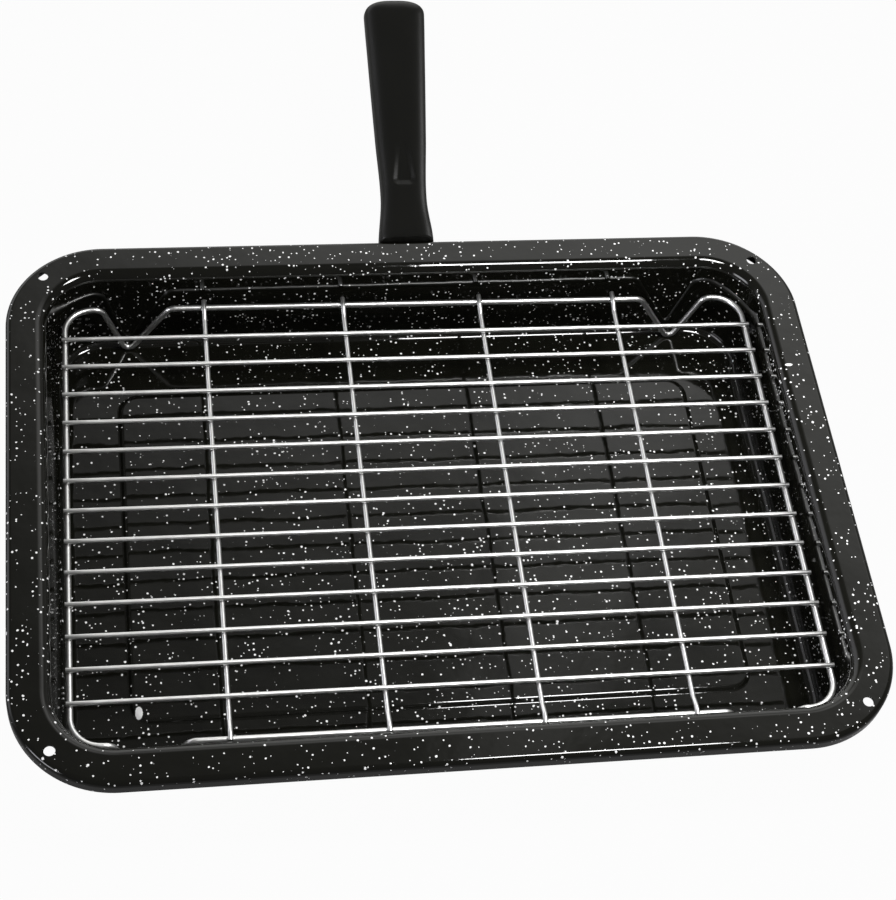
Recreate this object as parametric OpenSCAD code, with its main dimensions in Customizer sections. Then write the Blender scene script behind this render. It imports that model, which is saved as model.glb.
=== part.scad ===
// Grill pan: a pressed steel tray with a turned-down rim, a welded wire rack that stands
// in it on four bent feet, and a moulded handle whose steel bracket hooks behind the rim.
// Millimetres. The tray stands on z = 0 with its middle at the origin, and the handle
// reaches out along +Y.

/* [Tray] */
// Length of the tray over the turned-down lip, left to right
tray_x = 380; // [300:1:460]
// Depth of the tray over the lip, front to back
tray_y = 280; // [220:1:360]
// Height of the rim's top above the surface that the tray stands on
tray_h = 49; // [44:1:80]
// Thickness of the enamelled steel
sheet_t = 1; // [0.8:0.1:1.4]
// Radius of the rim's corners, seen from above
corner_r = 45; // [40:1:60]
// Width of the rim, from its outer edge to where it rolls down into the wall
rim_w = 13.3; // [13:0.1:18]
// Outside radius of the fold between the rim and the lip
fold_r = 2.5; // [2:0.1:4]
// Height of the turned-down lip, the fold included
lip_h = 7; // [5:0.5:10]
// Outside radius of the roll from the rim into the wall
roll_r = 5; // [3:0.1:7]
// How far the wall leans, in degrees from upright
wall_draft = 4.5; // [1:0.1:8]
// Inside radius where the wall meets the floor
floor_r = 4; // [2:0.1:6]

/* [Floor panel] */
// Width of the moat round the raised panel at the tray's ends
moat_x = 29.4; // [20:0.1:60]
// Width of the moat at the front and the rear, on average
moat_y = 31.7; // [20:0.1:60]
// How far behind the tray's middle the panel's middle is pressed
panel_y = -1.6; // [-3:0.1:3]
// How far the panel stands above the moat
panel_rise = 1.2; // [1:0.1:4]
// Width of the S-shaped step round the panel
step_w = 3.2; // [2:0.1:6]
// Radius of the panel's corners, at the middle of the step
panel_r = 9; // [8:0.5:30]

/* [Hanging holes] */
// Diameter of the hole through each corner of the rim
hole_d = 4.8; // [3:0.1:5]
// Distance of the hole's centre from the rim's outer edge
hole_edge = 5.9; // [5.4:0.1:6.5]

/* [Rack] */
// Height of the rack, from its feet to the top of the cross wires
rack_h = 34; // [28:0.5:38]
// Diameter of the frame wire
frame_d = 2.8; // [2:0.1:3.5]
// Diameter of the runners
runner_d = 2.3; // [1.5:0.1:3]
// Diameter of the cross wires
cross_d = 2.2; // [1.5:0.1:3]
// How far two wires sink into each other at a weld
weld_set = 0.3; // [0.1:0.05:0.5]
// Clearance between the side wires and the tray's wall
rack_gap = 3.9; // [2:0.1:8]
// Clearance between the bent corners of the frame wire and the wall
corner_gap = 1.5; // [1.3:0.1:3]
// Distance of the feet's middle from the floor's bend
foot_edge = 0.1; // [0:0.1:4]
// How far right of the tray's middle the loose rack lies
rack_x = 1.2; // [0:0.1:1.2]
// How far the loose rack lies askew in the tray, in degrees
rack_turn = -0.35; // [-0.35:0.05:0.35]
// Number of cross wires
cross_count = 13; // [7:2:13]
// Distance between neighbouring cross wires
cross_pitch = 15.9; // [10:0.1:16.5]
// How far the cross wires reach past the side wires
cross_over = 0.2; // [0.1:0.1:2]
// Number of runners under the cross wires
runner_count = 4; // [2:1:6]
// Distance between neighbouring runners
runner_pitch = 66.9; // [20:0.1:70]
// How far right of the rack's middle the set of runners is welded
runner_x = 0.6; // [-3:0.1:3]
// How far a runner reaches past the rear rail
runner_rear = 1.2; // [0.5:0.1:2]
// How far a runner reaches past the front rail
runner_front = 0.4; // [0:0.1:2]

/* [Rack feet] */
// Distance of a foot from the end of the corner bend
foot_in = 16.5; // [12:0.5:24]
// Distance from a foot to where the rail runs level
foot_out = 22.5; // [14:0.5:30]
// Radius of the bend that stands on the floor, along the wire's middle
foot_bend = 3; // [2.5:0.1:5]
// Radius of the bends above the foot, along the wire's middle
leg_bend = 5; // [3:0.1:7]

/* [Handle] */
// How far right of the tray's middle the handle hooks on
handle_x = 2; // [-100:1:100]
// Tilt of the handle above the horizontal, in degrees
handle_tilt = 28.2; // [15:0.1:40]
// Length of the grip along its middle
grip_l = 124; // [90:1:160]
// Width of the grip at its nose
nose_w = 27; // [25:0.5:34]
// Width of the grip at its neck
neck_w = 22.4; // [20:0.1:26]
// Distance of the neck from the nose
neck_at = 24; // [18:1:30]
// Width of the grip near its end
end_w = 30; // [26:0.5:40]
// Thickness of the grip at its neck
neck_t = 15; // [13.5:0.1:20]
// Thickness of the grip near its end
end_t = 17; // [13:0.1:24]
// Length of the rounded end
end_round = 8; // [5:0.5:14]
// Width of the gap between the grip's nose and the lip
nose_gap = 0.6; // [0.4:0.1:2]

/* [Thumb rest] */
// Distance of the thumb rest's deep end from the nose
thumb_at = 31; // [28:0.5:50]
// Length of the thumb rest
thumb_l = 21; // [12:0.5:40]
// Depth of its deep end
thumb_d = 1.8; // [0.8:0.1:2.4]
// Radius of the round bottom of the thumb rest
thumb_r = 10; // [6:0.5:16]

/* [Handle bracket] */
// Thickness of the bracket's steel strip
strip_t = 2; // [1.5:0.1:2.2]
// Width of the strip
strip_w = 19; // [15:0.5:20]
// Width of each tongue that hooks behind the lip
tongue_w = 5; // [3:0.1:5.5]
// Radius of the tongues' bend, along the middle of the strip
tongue_bend = 2.5; // [2.2:0.1:3]
// Clearance round the lip in the tongues' hook
hook_gap = 0.4; // [0.2:0.05:0.6]
// Clearance between the tongues' ends and the inside of the rim's fold
tip_gap = 0.1; // [0.05:0.05:0.4]
// Gap between the leg and the tongues on its sides
leg_slit = 0.5; // [0.3:0.1:1]
// Clearance between the leg's pad and the tray's wall
leg_gap = 0.3; // [0.1:0.05:0.6]
// Length of the leg's pad
pad_l = 9; // [4:0.5:12]
// Radius of the bend above the pad, along the middle of the strip
pad_bend = 3; // [2:0.1:5]
// How far the strip reaches into the grip
strip_in = 46; // [44:1:60]
// How far the strip lies below the middle of the grip
strip_drop = 2.7; // [1.5:0.1:3]
// Clearance between the strip and its slot in the grip
slot_gap = 0.1; // [0.05:0.01:0.2]

/* [Handle screws] */
// Diameter of the screws' shanks
screw_d = 3.4; // [3:0.1:4]
// Diameter of the screws' heads
head_d = 6.6; // [5.6:0.1:7.5]
// Height of the screws' heads
head_h = 1.9; // [1.2:0.1:2.2]
// Clearance on the radius between a screw and its hole
screw_gap = 0.05; // [0.02:0.01:0.2]
// Distance of the first screw from the nose
screw_at = 16; // [10:0.5:20]
// Distance between the screws
screw_pitch = 20; // [12:0.5:22]
// Thickness of grip between a screw's head and the slot
seat_wall = 1.4; // [1:0.1:1.8]

/* [Hidden] */
$fn = 48;
corner_fn = 96;
cross_fn = 32;
wire_sides = 16;
grip_sides = 40;
bend_step = 10;

function hundredth(v) = round(100 * v) / 100;

// Plan of the tray: the corners turn about the points (turn_x, turn_y)
turn_x = tray_x / 2 - corner_r;
turn_y = tray_y / 2 - corner_r;
lip_y = tray_y / 2;

// Section of the tray along the middle of the sheet, measured outwards from the corner's centre
wall_turn = 90 - wall_draft;
fold_mid = fold_r - sheet_t / 2;
roll_mid = roll_r - sheet_t / 2;
floor_mid = floor_r + sheet_t / 2;
bends_drop = (roll_mid + floor_mid) * (1 - cos(wall_turn));
wall_l = (tray_h - sheet_t - bends_drop) / sin(wall_turn);
roll_out = corner_r - rim_w - roll_mid * sin(wall_turn);
roll_low = tray_h - sheet_t / 2 - roll_mid * (1 - cos(wall_turn));
flat_out = roll_out - wall_l * cos(wall_turn) - floor_mid * sin(wall_turn);
tray_section_steps = [
    [lip_h - fold_r, 90, fold_mid],
    [rim_w - fold_r, wall_turn, roll_mid],
    [wall_l, -wall_turn, floor_mid],
    [flat_out, 0, 0]
];

// How far the wall's middle stands from the corner's centre at a height z
function wall_out(z) = roll_out - (roll_low - z) * tan(wall_draft);
wall_half_t = sheet_t / 2 / cos(wall_draft);

// Floor panel: the step's two bends meet halfway up
panel_turn_x = hundredth(turn_x + flat_out + floor_r - moat_x - panel_r);
panel_turn_y = hundredth(turn_y + flat_out + floor_r - moat_y - panel_r);
step_turn = 2 * atan(panel_rise / step_w);
step_bend = step_w / (2 * sin(step_turn));
step_steps = [
    [0, -step_turn, step_bend],
    [0, step_turn, step_bend]
];

// Hanging holes lie on the corners' diagonals
hole_turn = (corner_r - hole_edge) * cos(45);

// Rack heights, at the wires' middles
foot_z = sheet_t + frame_d / 2;
cross_z = sheet_t + rack_h - cross_d / 2;
frame_z = cross_z - (cross_d + frame_d) / 2 + weld_set;
runner_z = cross_z - (cross_d + runner_d) / 2 + weld_set;
runner_top_z = frame_z + (frame_d + runner_d) / 2 - weld_set;

// Rack plan: the rails stand over the edge of the flat floor, the side wires clear the wall
side_x = turn_x + wall_out(frame_z) - wall_half_t - rack_gap - frame_d / 2;
rail_y = turn_y + flat_out - foot_edge;
corner_room = wall_out(frame_z) - wall_half_t - corner_gap - frame_d / 2;
side_past = side_x - turn_x;
rail_past = rail_y - turn_y;
bend_sum = side_past + rail_past - corner_room;
bend_rest = side_past * side_past + rail_past * rail_past - corner_room * corner_room;
frame_bend = max(frame_d, bend_sum - sqrt(max(0, bend_sum * bend_sum - bend_rest)));

// Feet: each leg is the line that touches the bend above it and the bend of the foot
corner_end = side_x - frame_bend;
corner_lead = 0.5;
leg_rise = frame_z - leg_bend - foot_z - foot_bend;
leg_bends = leg_bend + foot_bend;
function leg_angle(run) = atan2(leg_rise, run) + asin(leg_bends / norm([run, leg_rise]));
function leg_length(run) = sqrt(run * run + leg_rise * leg_rise - leg_bends * leg_bends);
outer_run = foot_in - corner_lead;
rail_end = corner_end - foot_in - foot_out;
frame_quarter_steps = [
    [rail_y - frame_bend, 90, frame_bend, 0],
    [corner_lead, -leg_angle(outer_run), leg_bend, 90],
    [leg_length(outer_run), leg_angle(outer_run) + leg_angle(foot_out), foot_bend, 90],
    [leg_length(foot_out), -leg_angle(foot_out), leg_bend, 90],
    [rail_end, 0, 0, 0]
];

// Runners climb over the rails just inside them
climb_turn = 20;
climb_bend = 4;
climb_l = (runner_top_z - runner_z - 2 * climb_bend * (1 - cos(climb_turn))) / sin(climb_turn);
climb_run = climb_l * cos(climb_turn) + 2 * climb_bend * sin(climb_turn);
climb_to_rail = 2;
runner_flat = 2 * (rail_y - climb_to_rail - climb_run);
runner_front_end = rail_y + frame_d / 2 + runner_front;
runner_steps = [
    [runner_front_end - rail_y + climb_to_rail, -climb_turn, climb_bend, 90],
    [climb_l, climb_turn, climb_bend, 90],
    [runner_flat, climb_turn, climb_bend, 90],
    [climb_l, -climb_turn, climb_bend, 90],
    [climb_to_rail + frame_d / 2 + runner_rear, 0, 0, 0]
];
cross_l = 2 * side_x + frame_d + 2 * cross_over;
function runner_at(i) = runner_x + (i - (runner_count + 1) / 2) * runner_pitch;
function cross_at(i) = ((cross_count + 1) / 2 - i) * cross_pitch;

// Bracket: the strip bends round (bend_y, bend_z), just under the lip's edge
bend_y = lip_y - sheet_t - hook_gap - strip_t / 2 + tongue_bend;
bend_z = tray_h - lip_h + hook_gap / 2;
tongue_turn = 90 + handle_tilt;
fold_in = fold_r - sheet_t;
tip_reach = sqrt(max(0, pow(fold_in - tip_gap, 2) - pow(fold_in - hook_gap, 2)));
tongue_top = tray_h - fold_r + tip_reach;
tongue_l = tongue_top - bend_z;
strip_half_t = strip_t / 2;
leg_w = strip_w - 2 * tongue_w - 2 * leg_slit;
pad_turn = 90 - handle_tilt - wall_draft;
wall_away = (bend_y - turn_y - wall_out(bend_z) - wall_half_t) * cos(wall_draft);
leg_reach = wall_away + (tongue_bend + pad_bend) * sin(handle_tilt + wall_draft);
leg_l = (leg_reach - pad_bend - leg_gap - strip_half_t) / cos(handle_tilt + wall_draft);

// Grip: its frame starts where its middle meets the nose's upright face
grip_up = strip_drop - tongue_bend;
grip_out = (lip_y + nose_gap - bend_y + grip_up * sin(handle_tilt)) / cos(handle_tilt);
nose_lean = 20;
nose_round = 1.2;
nose_squeeze = 0.07;
nose_swell = 1;
belly_swell = 0.6;
section_power = 3.2;
end_power = 2.5;
end_cap = 0.08;
width_stations = [
    [0, nose_w],
    [neck_at, neck_w],
    [neck_at + (grip_l - neck_at) * 0.3, neck_w + (end_w - neck_w) * 0.34],
    [neck_at + (grip_l - neck_at) * 0.7, neck_w + (end_w - neck_w) * 0.76],
    [grip_l, end_w]
];
thickness_stations = [
    [0, neck_t + nose_swell],
    [neck_at, neck_t],
    [neck_at + (grip_l - neck_at) * 0.5, (neck_t + end_t) / 2 + belly_swell],
    [grip_l, end_t]
];

// A smooth curve through stations [place, value], with the slope at each from its neighbours
function slope(s, i) = i == 0 || i == len(s) - 1 ? 0
    : (s[i + 1][1] - s[i - 1][1]) / (s[i + 1][0] - s[i - 1][0]);
function hermite(a, b, ma, mb, u) =
    a * (2 * u * u * u - 3 * u * u + 1) + b * (3 * u * u - 2 * u * u * u)
    + ma * (u * u * u - 2 * u * u + u) + mb * (u * u * u - u * u);
function curve(s, x, i = 0) = i < len(s) - 2 && x > s[i + 1][0] ? curve(s, x, i + 1)
    : let (span = s[i + 1][0] - s[i][0])
        hermite(s[i][1], s[i + 1][1], slope(s, i) * span, slope(s, i + 1) * span,
                (x - s[i][0]) / span);

// How much of its full section the grip has at a place along it: less at the nose and the end
function end_share(y) = y < nose_round
    ? 1 - nose_squeeze * pow(1 - y / nose_round, 2)
    : y <= grip_l - end_round ? 1
    : pow(max(0, 1 - pow((y - grip_l + end_round) / end_round, end_power)), 1 / end_power);
function rounded(c) = sign(c) * pow(abs(c), 2 / section_power);
function nose_slant(y) = y >= nose_lean ? 0
    : tan(handle_tilt) * (1 + cos(180 * y / nose_lean)) / 2;
function grip_point(y, angle) =
    let (share = end_share(y),
         half_w = curve(width_stations, y) / 2 * share,
         half_t = curve(thickness_stations, y) / 2 * share,
         z = half_t * rounded(sin(angle)))
    [half_w * rounded(cos(angle)), y + z * nose_slant(y), z];
grip_straight = [for (y = [4:4:grip_l - end_round]) y];
grip_end = [for (a = [15:15:75]) grip_l - end_round + end_round * sin(a)];
grip_places = concat([0, nose_round / 2, nose_round], grip_straight, grip_end, [grip_l - end_cap]);

slot_t = strip_t + 2 * slot_gap;
slot_w = strip_w + 2 * slot_gap;
screw_seat = strip_drop + slot_t / 2 + seat_wall;
screw_tip = 3.6;
strip_end = grip_out + strip_in;

enamel_black = [0.07, 0.07, 0.08];
wire_silver = [0.80, 0.80, 0.82];
grip_black = [0.10, 0.10, 0.10];
bracket_steel = [0.60, 0.60, 0.62];

function cross_name(i) = str("rack_cross_wire_", i < 10 ? "0" : "", i);
function runner_name(i) = str("rack_runner_", i);

// Places along a bent sheet seen edge on, as [x, y, heading]; a step is a straight length,
// a turn to the left and its radius along the middle of the sheet
function sheet_ahead(f, length) = [f[0] + length * cos(f[2]), f[1] + length * sin(f[2]), f[2]];
function sheet_side(f, d) = [f[0] - d * sin(f[2]), f[1] + d * cos(f[2])];
function sheet_turned(f, turn, r) =
    let (reach = sign(turn) * r,
         centre = sheet_side(f, reach),
         end = sheet_side([centre[0], centre[1], f[2] + turn], -reach))
    [end[0], end[1], f[2] + turn];
function sheet_places(steps, f, i = 0) = i == len(steps) ? []
    : let (turn = steps[i][1],
           start = sheet_ahead(f, steps[i][0]),
           parts = ceil(abs(turn) / bend_step),
           arc = [for (k = [1:1:parts]) sheet_turned(start, turn * k / parts, steps[i][2])],
           last = parts > 0 ? arc[parts - 1] : start)
      concat(steps[i][0] > 0 ? [start] : [], arc, sheet_places(steps, last, i + 1));
function sheet_outline(start, steps, t) =
    let (places = concat([start], sheet_places(steps, start)),
         left = [for (f = places) sheet_side(f, t / 2)],
         right = [for (f = places) sheet_side(f, -t / 2)])
    concat(left, [for (i = [len(places) - 1:-1:0]) right[i]]);

// Frames along a bent wire, as [place, forward, outward, up]; a step is a straight length,
// a turn, its radius along the wire's middle and its plane: 0 turns away from outward, 90 turns up
function wire_ahead(f, length) = [f[0] + length * f[1], f[1], f[2], f[3]];
function wire_turned(f, turn, r, plane) =
    let (side = plane == 0 ? -f[2] : f[3],
         new_side = side * cos(turn) - f[1] * sin(turn),
         place = f[0] + sign(turn) * r * (side - new_side))
    [place, f[1] * cos(turn) + side * sin(turn),
     plane == 0 ? -new_side : f[2], plane == 0 ? f[3] : new_side];
function wire_frames(steps, f, i = 0) = i == len(steps) ? []
    : let (turn = steps[i][1],
           start = wire_ahead(f, steps[i][0]),
           parts = ceil(abs(turn) / bend_step),
           arc = [for (k = [1:1:parts])
                      wire_turned(start, turn * k / parts, steps[i][2], steps[i][3])],
           last = parts > 0 ? arc[parts - 1] : start)
      concat(steps[i][0] > 0 ? [start] : [], arc, wire_frames(steps, last, i + 1));
function wire_ring(f, d) = [for (k = [0:wire_sides - 1])
    f[0] + d / 2 * (cos(360 * k / wire_sides) * f[2] + sin(360 * k / wire_sides) * f[3])];
function wire_rings(start, steps, d) =
    [for (f = concat([start], wire_frames(steps, start))) wire_ring(f, d)];
function mirrored(ring, mx, my) = [for (p = ring) [mx * p[0], my * p[1], p[2]]];

// A skin through rings of points that each have as many points, closed at both ends
// or running round into itself
module skin(rings, loop = false) {
    rows = len(rings);
    n = len(rings[0]);
    function at(row, k) = (row % rows) * n + k % n;
    points = [for (ring = rings) for (p = ring) p];
    sides = [for (row = [0:rows - (loop ? 1 : 2)]) for (k = [0:n - 1]) for (half = [0, 1])
        half == 0
            ? [at(row, k), at(row + 1, k + 1), at(row + 1, k)]
            : [at(row, k), at(row, k + 1), at(row + 1, k + 1)]];
    first = [for (k = [n - 1:-1:0]) k];
    last = [for (k = [0:n - 1]) at(rows - 1, k)];
    polyhedron(points, loop ? sides : concat([first, last], sides));
}

// Places the rack as it lies in the tray
module in_rack_frame() {
    translate([rack_x, 0, 0]) rotate([0, 0, rack_turn]) children();
}

// Four copies, one in each quarter of the plan
module in_quarters() {
    for (mx = [0, 1], my = [0, 1])
        mirror([mx, 0, 0]) mirror([0, my, 0]) children();
}

// A profile in the YZ plane, extruded to both sides along X
module across(width) {
    rotate([90, 0, 90]) linear_extrude(width, center = true) children();
}

// Something built along the four sides and round the four corners of a rectangle
// whose corners turn about (x, y); the profile is measured outwards from those points
module along_rectangle(x, y) {
    in_quarters()
        translate([x, y, 0]) rotate_extrude(angle = 90, $fn = corner_fn) children();
    for (side = [0, 1])
        rotate([0, 0, 180 * side]) {
            translate([x, y, 0]) rotate([90, 0, 0]) linear_extrude(2 * y) children();
            translate([x, y, 0]) rotate([90, 0, -90]) mirror([1, 0, 0])
                linear_extrude(2 * x) children();
        }
}

module rounded_plate(x, y, r, thickness) {
    linear_extrude(thickness) {
        square([2 * x, 2 * (y + r)], center = true);
        square([2 * (x + r), 2 * y], center = true);
        in_quarters() translate([x, y]) circle(r, $fn = corner_fn);
    }
}

// Section of the tray from the lip's edge to the corner's centre
module tray_section() {
    outline = sheet_outline([corner_r - sheet_t / 2, tray_h - lip_h, 90], tray_section_steps, sheet_t);
    polygon([for (p = outline) [max(0, p[0]), p[1]]]);
}

// Section of the step, from the moat up to the panel
module step_section() {
    polygon(sheet_outline([panel_r + step_w / 2, sheet_t / 2, 180], step_steps, sheet_t));
}

module tray() color(enamel_black) difference() {
    union() {
        along_rectangle(turn_x, turn_y) tray_section();
        difference() {
            translate([-turn_x, -turn_y, 0]) cube([2 * turn_x, 2 * turn_y, sheet_t]);
            translate([0, panel_y, -sheet_t])
                rounded_plate(panel_turn_x, panel_turn_y, panel_r + step_w / 2, 3 * sheet_t);
        }
        translate([0, panel_y, 0]) along_rectangle(panel_turn_x, panel_turn_y) step_section();
        translate([0, panel_y, panel_rise])
            rounded_plate(panel_turn_x, panel_turn_y, panel_r - step_w / 2, sheet_t);
    }
    in_quarters()
        translate([turn_x + hole_turn, turn_y + hole_turn, tray_h - 2 * sheet_t])
            cylinder(d = hole_d, h = 3 * sheet_t);
}

module rack_frame_wire() color(wire_silver) in_rack_frame() {
    start = [[side_x, 0, frame_z], [0, 1, 0], [1, 0, 0], [0, 0, 1]];
    quarter = wire_rings(start, frame_quarter_steps, frame_d);
    n = len(quarter);
    skin(concat(
        quarter,
        [for (i = [n - 2:-1:0]) mirrored(quarter[i], -1, 1)],
        [for (i = [1:n - 1]) mirrored(quarter[i], -1, -1)],
        [for (i = [n - 2:-1:1]) mirrored(quarter[i], 1, -1)]
    ), loop = true);
}

module rack_runner(i) color(wire_silver) in_rack_frame() difference() {
    start = [[runner_at(i), -runner_front_end, runner_top_z], [0, 1, 0], [1, 0, 0], [0, 0, 1]];
    skin(wire_rings(start, runner_steps, runner_d));
    for (side = [-1, 1])
        translate([runner_at(i), side * rail_y, frame_z]) rotate([0, 90, 0])
            cylinder(d = frame_d, h = 2 * runner_d, center = true);
}

module rack_cross_wire(i) color(wire_silver) in_rack_frame() difference() {
    translate([0, cross_at(i), cross_z]) rotate([0, 90, 0])
        cylinder(d = cross_d, h = cross_l, center = true, $fn = cross_fn);
    for (side = [-1, 1])
        translate([side * side_x, cross_at(i), frame_z]) rotate([90, 0, 0])
            cylinder(d = frame_d, h = 2 * cross_d, center = true);
    for (k = [1:runner_count])
        translate([runner_at(k), cross_at(i), runner_z]) rotate([90, 0, 0])
            cylinder(d = runner_d, h = 2 * cross_d, center = true);
}

// Places its children with the origin on the axis of the tongues' bend and +Y along the strip
module in_bracket_frame() {
    translate([handle_x, bend_y, bend_z]) rotate([handle_tilt, 0, 0]) children();
}

module in_grip_frame() {
    in_bracket_frame() translate([0, grip_out, grip_up]) children();
}

module at_screws() {
    for (k = [0, 1])
        translate([0, screw_at + k * screw_pitch, 0]) children();
}

// A lane of the bent strip: it lies on the strip for a short lap, then bends off it
module strip_lane(width, steps) {
    lap = 5;
    first = [steps[0][0] + lap, steps[0][1], steps[0][2]];
    across(width)
        polygon(sheet_outline([lap, -tongue_bend, 180], [first, steps[1]], strip_t));
}

module handle_bracket() color(bracket_steel) difference() {
    in_bracket_frame() {
        translate([-strip_w / 2, 0, -tongue_bend - strip_half_t])
            cube([strip_w, strip_end, strip_t]);
        for (side = [-1, 1])
            translate([side * (strip_w - tongue_w) / 2, 0, 0])
                strip_lane(tongue_w, [[0, -tongue_turn, tongue_bend], [tongue_l, 0, 0]]);
        strip_lane(leg_w, [[leg_l, pad_turn, pad_bend], [pad_l, 0, 0]]);
    }
    in_grip_frame() at_screws()
        cylinder(d = screw_d + 2 * screw_gap, h = 4 * strip_drop, center = true);
}

module thumb_scoop() {
    top = curve(thickness_stations, thumb_at) / 2;
    top_far = curve(thickness_stations, thumb_at + thumb_l) / 2;
    ramp = atan((top_far - top + thumb_d) / thumb_l);
    translate([0, thumb_at, top + thumb_r - thumb_d]) rotate([ramp - 90, 0, 0])
        cylinder(r = thumb_r, h = 2 * thumb_l, $fn = corner_fn);
}

module handle_grip() color(grip_black) in_grip_frame() difference() {
    skin([for (y = grip_places) [for (k = [0:grip_sides - 1]) grip_point(y, 360 * k / grip_sides)]]);
    thumb_scoop();
    translate([-slot_w / 2, -strip_in, -strip_drop - slot_t / 2])
        cube([slot_w, 2 * strip_in + slot_gap, slot_t]);
    at_screws() {
        translate([0, 0, -screw_seat])
            cylinder(d = screw_d + 2 * screw_gap, h = screw_seat + screw_tip + screw_gap);
        translate([0, 0, -screw_seat - end_t])
            cylinder(d = head_d + 2 * screw_gap, h = end_t);
    }
}

module handle_screws() color(bracket_steel) in_grip_frame() at_screws() {
    translate([0, 0, -screw_seat - head_h]) cylinder(d = head_d, h = head_h);
    translate([0, 0, -screw_seat]) cylinder(d = screw_d, h = screw_seat + screw_tip);
}

tray();
rack_frame_wire();
for (i = [1:runner_count])
    rack_runner(i);
for (i = [1:cross_count])
    rack_cross_wire(i);
handle_bracket();
handle_grip();
handle_screws();
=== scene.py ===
import math

import bmesh
import bpy
import numpy as np
from mathutils import Matrix, Vector, noise


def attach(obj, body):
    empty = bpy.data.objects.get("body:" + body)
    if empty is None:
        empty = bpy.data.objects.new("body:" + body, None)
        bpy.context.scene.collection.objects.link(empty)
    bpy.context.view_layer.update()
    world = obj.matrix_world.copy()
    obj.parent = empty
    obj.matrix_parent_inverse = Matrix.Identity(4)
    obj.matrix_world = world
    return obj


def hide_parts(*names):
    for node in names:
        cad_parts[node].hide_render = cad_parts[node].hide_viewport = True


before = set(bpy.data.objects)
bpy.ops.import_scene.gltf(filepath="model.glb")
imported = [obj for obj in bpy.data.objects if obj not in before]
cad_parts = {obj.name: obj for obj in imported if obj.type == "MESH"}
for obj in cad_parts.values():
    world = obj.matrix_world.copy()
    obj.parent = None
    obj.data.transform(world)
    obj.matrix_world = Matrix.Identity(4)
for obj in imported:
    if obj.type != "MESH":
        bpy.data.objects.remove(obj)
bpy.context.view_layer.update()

MM = 0.001
rng = np.random.default_rng(7)


# Sizes in millimetres, the same as the part's own

TRAY_X, TRAY_Y, TRAY_H, SHEET = 380.0, 280.0, 49.0, 1.0
CORNER_R, RIM_W, FOLD_R, LIP_H, ROLL_R = 45.0, 13.3, 2.5, 7.0, 5.0
WALL_DRAFT, FLOOR_R = 4.5, 4.0
MOAT_X, MOAT_Y, PANEL_Y, PANEL_RISE, STEP_W, PANEL_R = 29.4, 31.7, -1.6, 1.2, 3.2, 9.0
HOLE_D, HOLE_EDGE = 4.8, 5.9
RACK_H, FRAME_D, RUNNER_D, CROSS_D, WELD_SET = 34.0, 2.8, 2.3, 2.2, 0.3
RACK_GAP, CORNER_GAP, FOOT_EDGE, RACK_X, RACK_TURN = 3.9, 1.5, 0.1, 1.2, -0.35
CROSS_COUNT, CROSS_PITCH, CROSS_OVER = 13, 15.9, 0.2
RUNNER_COUNT, RUNNER_PITCH, RUNNER_X, RUNNER_REAR, RUNNER_FRONT = 4, 66.9, 0.6, 1.2, 0.4
FOOT_IN, FOOT_OUT, FOOT_BEND, LEG_BEND = 16.5, 22.5, 3.0, 5.0
HANDLE_X, HANDLE_TILT, GRIP_L = 2.0, 28.2, 124.0
NOSE_W, NECK_W, NECK_AT, END_W = 27.0, 22.4, 24.0, 30.0
NECK_T, END_T, END_ROUND, NOSE_GAP = 15.0, 17.0, 8.0, 0.6
THUMB_AT, THUMB_L, THUMB_D, THUMB_TURN = 31.0, 21.0, 1.8, 3.4
STRIP_T, STRIP_DROP, HOOK_GAP, TONGUE_BEND = 2.0, 2.7, 0.4, 2.5
SLOT_GAP, SEAT_WALL = 0.1, 1.4
STRIP_W, SLOT_END = 19.0, 46.1
SCREW_D, HEAD_D, HEAD_H, SCREW_AT, SCREW_PITCH, SCREW_TIP = 3.4, 6.6, 1.9, 16.0, 20.0, 3.6


def cosd(a):
    return math.cos(math.radians(a))


def sind(a):
    return math.sin(math.radians(a))


TURN_X, TURN_Y = TRAY_X / 2 - CORNER_R, TRAY_Y / 2 - CORNER_R
WALL_TURN = 90 - WALL_DRAFT
FOLD_MID, ROLL_MID, FLOOR_MID = FOLD_R - SHEET / 2, ROLL_R - SHEET / 2, FLOOR_R + SHEET / 2
BENDS_DROP = (ROLL_MID + FLOOR_MID) * (1 - cosd(WALL_TURN))
WALL_L = (TRAY_H - SHEET - BENDS_DROP) / sind(WALL_TURN)
ROLL_OUT = CORNER_R - RIM_W - ROLL_MID * sind(WALL_TURN)
ROLL_LOW = TRAY_H - SHEET / 2 - ROLL_MID * (1 - cosd(WALL_TURN))
FLAT_OUT = ROLL_OUT - WALL_L * cosd(WALL_TURN) - FLOOR_MID * sind(WALL_TURN)
WALL_HALF_T = SHEET / 2 / cosd(WALL_DRAFT)


def wall_out(z):
    return ROLL_OUT - (ROLL_LOW - z) * math.tan(math.radians(WALL_DRAFT))


PANEL_TURN_X = round(TURN_X + FLAT_OUT + FLOOR_R - MOAT_X - PANEL_R, 2)
PANEL_TURN_Y = round(TURN_Y + FLAT_OUT + FLOOR_R - MOAT_Y - PANEL_R, 2)
STEP_TURN = 2 * math.degrees(math.atan(PANEL_RISE / STEP_W))
STEP_BEND = STEP_W / (2 * sind(STEP_TURN))
HOLE_TURN = (CORNER_R - HOLE_EDGE) * cosd(45)

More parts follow.
